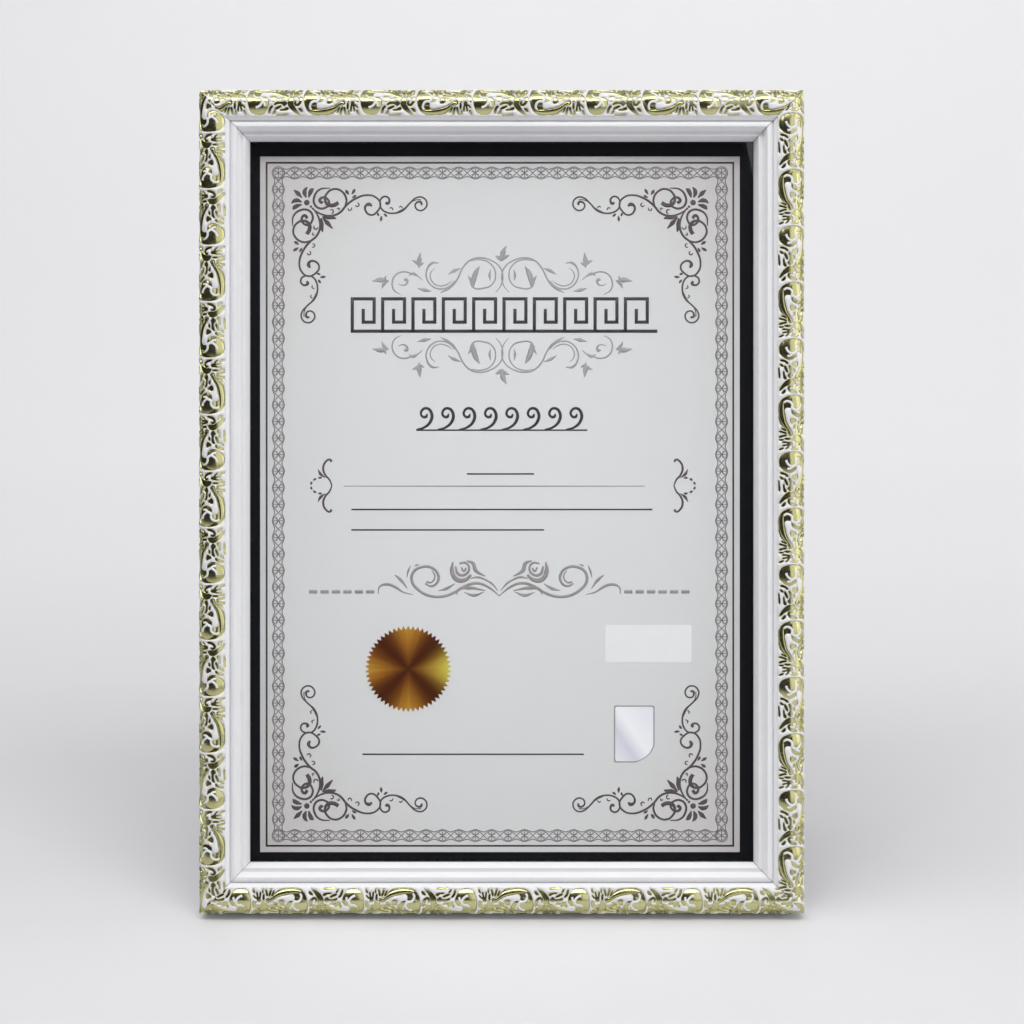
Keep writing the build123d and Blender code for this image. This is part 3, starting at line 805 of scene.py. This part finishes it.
# The vines: pale grey tendrils and three-lobed leaves over and under the title place.
# One quarter is drawn and turned over the sheet's middle line and the title's.
title_level = 238.6
vine_middle = 0.2
vine_spread = 1.25
vine_lines = [
    [(-24.6, 247.6, 0.12), (-20.1, 250.1, 0.26), (-17.7, 253.4, 0.26), (-15.7, 257.5, 0.26),
     (-12.7, 260.6, 0.28), (-8.8, 261.6, 0.28), (-4.4, 260.6, 0.24), (-0.9, 258.0, 0.22), (0.4, 254.5, 0.22),
     (-0.4, 250.4, 0.18), (-2.4, 247.8, 0.1)],
    [(-12.2, 260.4, 0.12), (-8.3, 260.8, 0.22), (-4.4, 259.1, 0.22), (-2.5, 255.0, 0.22),
     (-3.9, 250.9, 0.22), (-7.3, 249.4, 0.26), (-11.3, 249.6, 0.26), (-12.8, 251.8, 0.2)],
    [(-8.9, 258.2, 0.1), (-10.4, 255.7, 0.8), (-11.3, 252.9, 0.85), (-11.5, 250.1, 0.3)],
    [(-4.5, 256.9, 0.1), (-4.9, 254.5, 0.42), (-4.6, 252.4, 0.1)],
    [(-13.6, 254.4, 0.1), (-12.6, 252.8, 0.45), (-11.8, 250.6, 0.2)],
    [(-25.3, 259.5, 0.12), (-28.0, 259.5, 0.42), (-30.2, 256.5, 0.26), (-30.0, 252.9, 0.24),
     (-27.5, 249.9, 0.24), (-24.1, 249.1, 0.24), (-21.1, 250.1, 0.24), (-18.9, 252.4, 0.15)],
    [(-26.8, 257.5, 0.1), (-28.6, 255.5, 0.2), (-28.2, 252.4, 0.2), (-25.5, 250.4, 0.2), (-22.1, 250.9, 0.2),
     (-20.1, 252.4, 0.1)],
    [(-40.6, 246.8, 0.12), (-43.3, 248.6, 0.24), (-44.0, 251.9, 0.26), (-42.3, 255.0, 0.26),
     (-38.8, 256.0, 0.26), (-35.9, 255.0, 0.24), (-33.7, 254.2, 0.22), (-31.9, 252.7, 0.12)],
    [(-41.6, 251.1, 0.12), (-39.8, 250.5, 0.2), (-38.1, 251.4, 0.32), (-38.3, 252.8, 0.5),
     (-39.4, 252.7, 0.25)],
    [(-52.1, 252.2, 0.1), (-48.7, 252.7, 0.85), (-45.5, 252.2, 0.25)],
    [(-46.4, 254.4, 0.1), (-47.0, 252.9, 0.5), (-46.2, 252.2, 0.3)],
    [(-48.2, 249.3, 0.1), (-47.5, 250.9, 0.5), (-46.2, 251.9, 0.3)],
    [(-32.8, 263.7, 0.1), (-33.2, 260.6, 0.8), (-33.3, 257.6, 0.15)],
    [(-36.1, 260.6, 0.1), (-34.4, 259.8, 0.5), (-33.4, 258.8, 0.3)],
    [(-31.3, 259.7, 0.1), (-32.3, 259.1, 0.45), (-33.2, 258.5, 0.3)],
    [(-21.6, 254.9, 0.1), (-19.1, 256.4, 0.55), (-16.4, 257.4, 0.1)],
    [(-33.9, 249.3, 0.1), (-31.0, 248.6, 0.6), (-28.4, 248.2, 0.15)],
    [(-37.4, 254.4, 0.1), (-35.6, 255.3, 0.45), (-33.7, 254.2, 0.2)],
    [(-24.6, 247.5, 0.1), (-21.6, 249.3, 0.5), (-19.0, 251.8, 0.12)],
]
middle_leaf = [
    [(1.9, 266.4, 0.1), (0.4, 263.6, 0.85), (-0.2, 260.4, 0.25)],
    [(-2.6, 262.4, 0.1), (-1.3, 261.7, 0.6), (-0.2, 260.4, 0.3)],
    [(3.1, 262.6, 0.1), (1.6, 262.0, 0.55), (-0.1, 260.5, 0.3)],
]
upper_vines = widened(vine_lines + mirrored(vine_lines, vine_middle, 0) + middle_leaf, vine_spread)
pale_ink = ink_material("pale_grey_ink", (0.27, 0.265, 0.27, 1), (0.33, 0.325, 0.33, 1))
printed("print_vines", upper_vines + mirrored(upper_vines, title_level, 1), pale_ink)


# The title place: a plain key pattern in the dark ink, and below it a row of running waves.
# Both are stock borders that any printer sets from type.
key_count = 10
key_shift = 0.9
key_width = 12.2
key_height = 13.0
key_half = 0.65
key_turns = [(1, 0), (0, 0), (0, 1), (0.72, 1), (0.72, 0.28), (0.36, 0.28), (0.36, 0.64)]
wave_count = 8
wave_width = 8.6
wave_level = 192.5
wave_rule = 192.3
wave_rule_ink = 0.3
wave_line = [(0.0, 0.0, 0.3), (3.4, 1.0, 0.5), (5.9, 3.6, 0.62), (6.1, 6.8, 0.62), (4.2, 8.6, 0.55),
             (2.2, 7.6, 0.5), (2.3, 5.5, 0.5), (3.9, 5.2, 0.6), (4.4, 6.4, 0.3)]


def key_lines():
    lines = []
    low = title_level - key_height / 2
    for count in range(key_count):
        left = (count - key_count / 2) * key_width + key_shift
        corners = [(left + a * key_width, low + b * key_height) for a, b in key_turns]
        for (x0, z0), (x1, z1) in zip(corners, corners[1:]):
            length = hypot(x1 - x0, z1 - z0)
            ease_x, ease_z = (x1 - x0) / length * key_half, (z1 - z0) / length * key_half
            lines.append([(x0 - ease_x, z0 - ease_z, key_half), (x1 + ease_x, z1 + ease_z, key_half)])
    return lines


wave_half = wave_count / 2 * wave_width
waves = [[(x - wave_half + count * wave_width, wave_level + z, r) for x, z, r in wave_line]
         for count in range(wave_count)]
waves.append([(end, wave_rule, wave_rule_ink) for end in (-wave_half, wave_half)])
printed("print_title_band", key_lines(), dark_ink)
printed("print_wave_line", waves, dark_ink)


# The writing lines: thin rules for the words that the owner fills in, with a bracket at each end.
# The rules are in the dark ink, up to 0.6 mm wide, and the brackets in the mauve of the flourishes.
fan_middle = (-72.6, 170.0)
fan_reach = (4.2, 3.2)
bracket_middle = field_middle[0] + 1.2
bracket = [
    [(-68.4, 179.6, 0.5), (-69.2, 180.5, 0.4), (-70.8, 179.6, 0.4), (-71.8, 176.9, 0.45), (-70.9, 174.2, 0.4),
     (-69.3, 172.4, 0.35), (-68.3, 170.0, 0.25)],
    [(-73.9, 176.6, 0.12), (-72.9, 174.7, 0.6), (-70.9, 173.2, 0.15)],
]
for degrees in (85, 118, 151):
    turns = [radians(degrees + ease) for ease in (0, 11, 22)]
    bracket.append([(fan_middle[0] + fan_reach[0] * cos(turn), fan_middle[1] + fan_reach[1] * sin(turn), r)
                    for turn, r in zip(turns, (0.2, 0.5, 0.2))])
brackets = bracket + mirrored(bracket, fan_middle[1], 1)
rules = [
    [(-14.0, 174.7, 0.3), (13.0, 174.7, 0.3)],
    [(-63.5, 169.8, 0.1), (-3.0, 169.8, 0.16), (57.5, 169.8, 0.1)],
    [(-60.5, 160.4, 0.3), (60.5, 160.4, 0.3)],
    [(-60.5, 152.2, 0.3), (17.0, 152.2, 0.3)],
    [(-56.0, 62.0, 0.3), (33.0, 62.0, 0.3)],
]
printed("print_writing_rules", rules, dark_ink)
printed("print_brackets", brackets + mirrored(brackets, bracket_middle, 0), mauve_ink)


# The divider: a scroll that ends in an opening rosebud, drawn for one half and turned over the middle line,
# with a run of dashes out to each side. Grey ink.
divider_middle = -1.0
divider_spread = 1.3
dash_count = 6
dash_ends = (-77.5, -74.2)
dash_pitch = 4.6
dash_level = 127.3
dash_ink = 0.5
divider_half = [
    [(-49.6, 126.4, 0.12), (-49.3, 129.1, 0.25), (-46.6, 130.3, 0.42), (-43.3, 129.5, 0.42),
     (-39.4, 127.1, 0.25), (-35.8, 126.2, 0.1)],
    [(-1.0, 125.7, 0.12), (-5.2, 129.1, 0.35), (-9.8, 130.8, 0.42), (-14.4, 129.8, 0.42),
     (-19.0, 127.1, 0.42), (-23.6, 125.5, 0.42), (-28.9, 125.7, 0.42), (-33.5, 128.1, 0.44),
     (-36.1, 131.5, 0.44), (-35.5, 135.3, 0.44), (-32.2, 137.3, 0.42), (-28.2, 137.0, 0.42),
     (-25.6, 134.2, 0.42), (-25.9, 131.2, 0.4), (-28.2, 129.6, 0.36), (-30.9, 130.6, 0.2)],
    [(-28.2, 135.9, 0.12), (-26.9, 133.6, 0.25), (-28.2, 131.2, 0.25), (-30.3, 131.2, 0.35)],
    [(-43.0, 134.1, 0.15), (-40.6, 132.1, 0.5), (-38.0, 128.6, 0.12)],
    [(-38.2, 133.0, 0.1), (-37.6, 135.7, 0.35), (-36.6, 138.0, 0.1)],
    [(-35.1, 137.6, 0.1), (-34.3, 138.0, 0.3), (-33.2, 138.4, 0.1)],
    [(-19.7, 139.3, 0.2), (-20.0, 135.6, 0.7), (-18.1, 132.3, 0.75), (-14.8, 132.1, 0.6),
     (-12.3, 134.2, 0.4)],
    [(-18.7, 137.6, 0.3), (-17.4, 134.4, 0.45), (-14.8, 134.2, 0.4), (-13.1, 136.6, 0.36),
     (-14.4, 138.9, 0.36), (-17.1, 138.7, 0.3)],
    [(-16.3, 137.2, 0.25), (-15.2, 135.7, 0.36), (-14.3, 137.0, 0.25)],
    [(-14.1, 139.8, 0.2), (-11.5, 138.7, 0.55), (-10.5, 135.9, 0.6), (-6.7, 133.6, 0.15)],
    [(-12.5, 132.7, 0.15), (-9.5, 133.2, 0.36), (-6.4, 132.1, 0.3), (-3.9, 130.5, 0.3), (-1.6, 127.8, 0.12)],
    [(-18.1, 126.1, 0.12), (-17.4, 128.2, 0.4), (-13.1, 128.9, 0.55), (-6.6, 127.8, 0.12)],
    [(-15.1, 127.1, 0.12), (-11.2, 125.9, 0.5), (-7.2, 127.3, 0.12)],
    [(-25.5, 127.8, 0.1), (-22.3, 128.6, 0.5), (-18.9, 130.6, 0.12)],
]
divider_half += [[(end + dash_pitch * count, dash_level, dash_ink) for end in dash_ends]
                 for count in range(dash_count)]
divider_half = widened(divider_half, divider_spread)
grey_ink = ink_material("grey_ink", (0.24, 0.215, 0.225, 1), (0.3, 0.275, 0.285, 1))
printed("print_divider", divider_half + mirrored(divider_half, divider_middle, 0), grey_ink)


# The seal: a toothed disc of gold foil paper stuck on the sheet, a twentieth of a millimetre thick.
# It is spun, and its sheen is painted into its colour: a painted sheen that fans out from the middle in a
# streaked cross, and a painted yellow highlight at its right edge.
stuck_gap = 0.01
seal_middle = (-37.6, 96.3)
seal_radius = 17.4
seal_notch = 0.905
seal_teeth = 54
seal_thickness = 0.05


def stuck_on_sheet(bm, name, thickness, material):
    """Thickens a flat outline towards the front and lays it on the sheet."""
    front = bmesh.ops.extrude_face_region(bm, geom=bm.faces[:])["geom"]
    bmesh.ops.translate(bm, vec=(0, -thickness * mm, 0), verts=parts(front, BMVert))
    bmesh.ops.recalc_face_normals(bm, faces=bm.faces)
    laid_on_sheet(bm, name, material, sharp=30)


seal_foil, tree, shader = new_material("seal_foil")
x, z = sheet_place(tree, seal_middle, (seal_radius, seal_radius))
# The colour is painted sheen: lighter up, down, left and right, towards the rim and in fanned streaks, with a
# painted yellow highlight at the right edge.
turn = maths(tree, "ARCTAN2", z, x)
painted_sheen_cross = maths(tree, "MULTIPLY_ADD", maths(tree, "COSINE", maths(tree, "MULTIPLY", turn, 4.0)), 0.5, 0.5)
reach = maths(tree, "SQRT", maths(tree, "ADD", maths(tree, "MULTIPLY", x, x), maths(tree, "MULTIPLY", z, z)))
painted_sheen = maths(tree, "MULTIPLY", painted_sheen_cross, maths(tree, "POWER", reach, 0.7))
fan = node(tree, "TexNoise", {"W": maths(tree, "MULTIPLY", turn, 3.0), "Scale": 2.0, "Detail": 3.0},
           noise_dimensions="1D").outputs["Fac"]
streaked_painted_sheen = maths(tree, "MULTIPLY", painted_sheen, maths(tree, "MULTIPLY_ADD", fan, 0.5, 0.75))
seal_gold_and_painted_sheen = ramp(tree, streaked_painted_sheen, [(0.0, (0.055, 0.01, 0.0015, 1)), (0.35, (0.13, 0.042, 0.004, 1)),
                             (0.7, (0.28, 0.115, 0.012, 1)), (1.0, (0.4, 0.21, 0.028, 1))])
highlight_side = maths(tree, "POWER", maths(tree, "MAXIMUM", maths(tree, "COSINE", turn), 0.0), 14.0)
painted_right_highlight = maths(tree, "MULTIPLY", highlight_side, maths(tree, "POWER", reach, 2.5))
wired(tree, shader, {"Base Color": mixed(tree, painted_right_highlight, seal_gold_and_painted_sheen, (0.55, 0.52, 0.085, 1)),
                     "Roughness": maths(tree, "MULTIPLY_ADD", fan, 0.2, 0.3), "Specular IOR Level": 0.15})
bm = bmesh.new()
bmesh.ops.create_circle(bm, cap_ends=True, segments=2 * seal_teeth, radius=seal_radius * mm)
for index, vert in enumerate(bm.verts):
    if index % 2:
        vert.co *= seal_notch
bmesh.ops.rotate(bm, cent=(0, 0, 0), matrix=Matrix.Rotation(pi / 2, 3, "X"), verts=bm.verts)
bmesh.ops.translate(bm, vec=(seal_middle[0] * mm, -(sheet_face + stuck_gap) * mm, seal_middle[1] * mm),
                    verts=bm.verts)
stuck_on_sheet(bm, "print_seal", seal_thickness, seal_foil)


# The label and the page mark: a plain white sticker, and a printed page with one corner turned up.
# Each is a rounded outline lifted a few hundredths of a millimetre off the sheet, and both are left bare.
label_low, label_high = (41.7, 98.9), (76.3, 114.0)
page_low, page_high = (45.6, 59.2), (60.9, 81.1)
page_edge = 0.55
page_fade = (30, 44)
label_thickness = 0.06
page_edge_thickness = 0.02
page_thickness = 0.05
corner_turn = [(0, 6.2), (-1.6, 3.2), (-3.9, 1.2)]
corner_width = 6.8
tag_round = 0.8


def flat_tag(name, corners, thickness, material):
    bm = bmesh.new()
    bm.faces.new([bm.verts.new((x * mm, -(sheet_face + stuck_gap) * mm, z * mm)) for x, z in corners])
    bmesh.ops.bevel(bm, geom=bm.verts[:], offset=tag_round * mm, segments=4, profile=0.5, affect="VERTICES",
                    material=-1)
    stuck_on_sheet(bm, name, thickness, material)


def page_corners(grow):
    (left, low), (right, high) = page_low, page_high
    turned = [(right + x + grow, low + z) for x, z in corner_turn] + [(right - corner_width, low - grow)]
    return [(left - grow, high + grow), (right + grow, high + grow), *turned, (left - grow, low - grow)]


page_tint, tree, shader = new_material("page_tint")
tint = ramp(tree, maths(tree, "ADD", *sheet_place(tree, page_low, page_fade)), [
    (0.0, (0.7, 0.69, 0.74, 1)), (0.3, (0.55, 0.54, 0.62, 1)), (0.5, (0.76, 0.76, 0.79, 1)),
    (1.0, (0.66, 0.65, 0.72, 1))])
wired(tree, shader, {"Base Color": tint, "Roughness": 0.55})
(left, low), (right, high) = label_low, label_high
sticker_white = ink_material("sticker_paper", (0.7, 0.7, 0.72, 1), (0.67, 0.67, 0.69, 1))
label_corners = [(left, low), (right, low), (right, high), (left, high)]
flat_tag("print_label", label_corners, label_thickness, sticker_white)
flat_tag("print_page_edge", page_corners(page_edge), page_edge_thickness, grey_ink)
flat_tag("print_page_face", page_corners(0.0), page_thickness, page_tint)


# The filler card: grey chipboard that presses the sheet flat against the glass.
# Its raw surface shows flecks of recycled paper.
dressed("filler_card", coated("grey_chipboard", {}, 120.0, (0.55, 0.5, 0.43, 1), (0.42, 0.38, 0.33, 1),
                              (0.8, 0.95), 0.3))


# The backing board: 3 mm fibreboard with a black leatherette paper pressed on its back.
# The same board makes the strut, where its cut edges show raw brown fibre.
black_faced_board, tree, shader = new_material("black_faced_board")
point = object_point(tree)
black = mottled(tree, shader, 40.0, (0.03, 0.029, 0.029, 1), (0.045, 0.043, 0.042, 1), (0.45, 0.6))
pebble = node(tree, "TexVoronoi", {"Vector": point, "Scale": 900.0}, feature="SMOOTH_F1").outputs["Distance"]
creased = mixed(tree, pebble, black, (0.018, 0.017, 0.017, 1))
normal = node(tree, "TexCoord", {}).outputs["Normal"]
sideways = node(tree, "SeparateXYZ", {"Vector": normal}).outputs["X"]
sawn = maths(tree, "GREATER_THAN", maths(tree, "ABSOLUTE", sideways), 0.5)
raw = ramp(tree, noise(tree, point, 1200.0, 3.0), [
    (0.3, (0.1, 0.055, 0.025, 1)), (0.7, (0.24, 0.15, 0.08, 1))])
wired(tree, shader, {"Base Color": mixed(tree, sawn, creased, raw)})
bumped(tree, shader, pebble, 0.5, 0.0003, invert=True)
dressed("backing_board", black_faced_board)


# The hinge: two leaves of folded steel strip on one pin, riveted to the board and to the strut.
# All of it is bright zinc plated.
zinc_plate = steel_material("zinc_plate", (0.62, 0.62, 0.6, 1), (0.5, 0.5, 0.5, 1))
dressed("hinge_", zinc_plate)


# The easel strut: a tapered leg sawn from the same board, trimmed at its foot for both ways of standing.
# The saw leaves its edges brown and fibrous.
dressed("easel_strut", black_faced_board)


# The turn buttons: stamped zinc-plated steel, one screw each, that hold the board in the rabbet.
# The screws have low round heads.
dressed("turn_button", zinc_plate)


# The hangers: a folded strap and a triangular wire ring for each way of hanging, riveted to the board.
# Strap and ring are zinc-plated steel.
dressed("hanger_", zinc_plate)


# The room: a pale table top that runs on as the backdrop, with soft lamps above, in front and on both sides.
# The backdrop is lifted a little for the camera and for what mirrors it. Towards the front and far to the
# left the table top is painted dark, as painted shade for the unlit room that the gold mirrors.
# The camera stands straight before the frame's face.
table_front = -2.5
bend_start = 0.85
bend_round = 0.5
wall_top = 2.5
room_half = 3.0
wall_lift = 0.17
aim = (0, 0, 0.16)
camera_place = (4.1, -1000, 159.4)

pale_table, tree, shader = new_material("pale_table")
pale = mottled(tree, shader, 3.0, (0.8, 0.8, 0.82, 1), (0.78, 0.78, 0.8, 1), (0.5, 0.6))
place = node(tree, "SeparateXYZ", {"Vector": object_point(tree)}).outputs
paler = mixed(tree, ranged(tree, place["Y"], 0.0, 0.6), pale, (0.93, 0.93, 0.95, 1))
# Painted shade: the table top darkens towards the front and to near black far to the left, for the unlit room
# there.
painted_front_shade = mixed(tree, ranged(tree, place["Y"], -0.5, -1.6), paler, (0.2, 0.2, 0.21, 1))
left = ranged(tree, place["X"], -0.65, -1.3)
path = node(tree, "LightPath", {}).outputs
mirror = maths(tree, "MAXIMUM", path["Is Glossy Ray"], path["Is Transmission Ray"])
seen = maths(tree, "MAXIMUM", path["Is Camera Ray"], mirror)
wall = ranged(tree, place["Y"], 0.25, 0.9, 0.0, wall_lift)
lift = maths(tree, "MULTIPLY", wall, maths(tree, "SUBTRACT", 1.0, left))
wired(tree, shader, {"Base Color": mixed(tree, left, painted_front_shade, (0.03, 0.03, 0.032, 1)),
                     "Emission Color": (1.0, 1.0, 1.0, 1),
                     "Emission Strength": maths(tree, "MULTIPLY", seen, lift)})
bm = bmesh.new()
sweep = [(table_front, 0.0), (bend_start, 0.0)]
for degrees in range(10, 91, 10):
    turn = radians(degrees)
    sweep.append((bend_start + bend_round * sin(turn), bend_round - bend_round * cos(turn)))
sweep.append((bend_start + bend_round, wall_top))
corners = [bm.verts.new((-room_half, y, z)) for y, z in sweep]
edges = [bm.edges.new(pair) for pair in zip(corners, corners[1:])]
wide = bmesh.ops.extrude_edge_only(bm, edges=edges)["geom"]
bmesh.ops.translate(bm, vec=(2 * room_half, 0, 0), verts=parts(wide, BMVert))
table = finished(bm, "table_top", pale_table)


def lamp(name, place, target, size, power):
    light = bpy.data.lights.new(name, "AREA")
    light.shape = "RECTANGLE"
    light.size, light.size_y = size
    light.energy = power
    holder = linked(name, light)
    holder.visible_camera = False
    holder.location = place
    holder.rotation_euler = (Vector(target) - Vector(place)).to_track_quat("-Z", "Y").to_euler()


lamp("ceiling", (0.0, -0.2, 1.9), (0, -0.2, 0), (1.6, 1.7), 7.5)
lamp("left", (-1.0, -0.4, 1.45), aim, (1.2, 1.0), 9)
lamp("key", (0.1, -0.8, 1.6), aim, (1.6, 0.5), 12.5)
lamp("window", (0.95, -1.1, 0.72), aim, (1.7, 1.3), 7)
lamp("right", (1.4, -0.1, 0.5), aim, (1.2, 1.0), 5)

world = bpy.data.worlds.new("room")
world.use_nodes = True
world.node_tree.nodes["Background"].inputs["Color"].default_value = (0.032, 0.032, 0.034, 1)
bpy.context.scene.world = world

camera = linked("camera", bpy.data.cameras.new("camera"))
camera.data.lens = 87.0
camera.data.clip_start = 0.01
camera.matrix_world = stand @ Matrix.Translation(Vector(camera_place) * mm) @ Matrix.Rotation(pi / 2, 4, "X")
bpy.context.scene.camera = camera
bpy.context.scene.view_settings.view_transform = "Standard"
